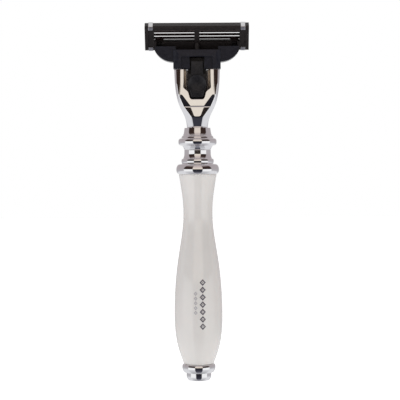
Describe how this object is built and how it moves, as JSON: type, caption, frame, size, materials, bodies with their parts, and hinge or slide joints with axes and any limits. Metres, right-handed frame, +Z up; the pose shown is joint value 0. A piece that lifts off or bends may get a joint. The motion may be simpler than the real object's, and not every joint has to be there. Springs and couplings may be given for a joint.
{
  "type": "cartridge razor",
  "caption": "Turned resin razor handle with chromed fittings, sliding release button and detachable pivoting multi-blade cartridge.",
  "frame": {"origin": "centre of the flat foot of the finial at the handle's lower end", "axes": "+Z up along the handle to the cartridge, +X along the blades, -Y towards the release button and the back of the cartridge, +Y towards the shaving face"},
  "size_m": [0.0414, 0.0192, 0.1433],
  "materials": {
    "chrome": "polished chrome plate",
    "white_resin": "polished cast resin",
    "rod_steel": "plain drawn rod",
    "black_moulding": "fine moulded satin",
    "blue_black_moulding": "fine moulded satin",
    "spring_steel": "bright drawn wire and strip",
    "soft_guard": "soft moulded elastomer",
    "strip": "waxy pale strip",
    "clip_aluminium": "bright rolled strip",
    "blade_steel": "honed and coated",
    "support_steel": "rolled strip"
  },
  "bodies": {
    "handle": {"finial": "chrome", "base_ring": "chrome", "handle_grip": "white_resin", "collar_ring": "chrome", "neck_ferrule": "chrome", "tie_rod": "rod_steel", "neck_fork": "chrome", "dock_insert": "black_moulding", "latch_arm_left": "spring_steel", "latch_arm_right": "spring_steel", "plunger_spring": "spring_steel", "button_spring_left": "spring_steel", "button_spring_right": "spring_steel"},
    "plunger": {"plunger": "black_moulding"},
    "release_button": {"release_button": "black_moulding"},
    "connector": {"connector_yoke": "blue_black_moulding"},
    "blade_unit": {"cartridge_frame": "black_moulding", "guard_fins": "soft_guard", "lubricating_strip": "strip", "clip_left": "clip_aluminium", "clip_right": "clip_aluminium"},
    "first_blade": {"blade_1": "blade_steel", "blade_support_1": "support_steel"},
    "second_blade": {"blade_2": "blade_steel", "blade_support_2": "support_steel"},
    "third_blade": {"blade_3": "blade_steel", "blade_support_3": "support_steel"}
  },
  "joints": [
    {"name": "cartridge_dock", "type": "slide", "parent": "handle", "child": "connector", "axis": [0, 0, 1], "range_m": [0, 0.011]},
    {"name": "blade_pivot", "type": "hinge", "parent": "connector", "child": "blade_unit", "pos_m": [0, 0.00422, 0.13532], "axis": [1, 0, 0], "range_deg": [0, 45]},
    {"name": "plunger_slide", "type": "slide", "parent": "handle", "child": "plunger", "axis": [0, 0, 1], "range_m": [-0.00222, 0], "stiffness_N_per_m": 500, "springref_m": 0.0014, "deforming": ["plunger_spring"]},
    {"name": "button_slide", "type": "slide", "parent": "handle", "child": "release_button", "axis": [0, 0, 1], "range_m": [0, 0.0016], "stiffness_N_per_m": 400, "springref_m": -0.002, "deforming": ["button_spring_left", "button_spring_right"]},
    {"name": "first_blade_float", "type": "slide", "parent": "blade_unit", "child": "first_blade", "axis": [0, -0.866, -0.5], "range_m": [0, 0.00025], "stiffness_N_per_m": 1500, "springref_m": -0.00015},
    {"name": "second_blade_float", "type": "slide", "parent": "blade_unit", "child": "second_blade", "axis": [0, -0.866, -0.5], "range_m": [0, 0.00025], "stiffness_N_per_m": 1500, "springref_m": -0.00015},
    {"name": "third_blade_float", "type": "slide", "parent": "blade_unit", "child": "third_blade", "axis": [0, -0.866, -0.5], "range_m": [0, 0.00025], "stiffness_N_per_m": 1500, "springref_m": -0.00015}
  ],
  "couplings": [
    {"joint": "blade_pivot", "follows": "plunger_slide", "rad_per_m": -352.9}
  ]
}
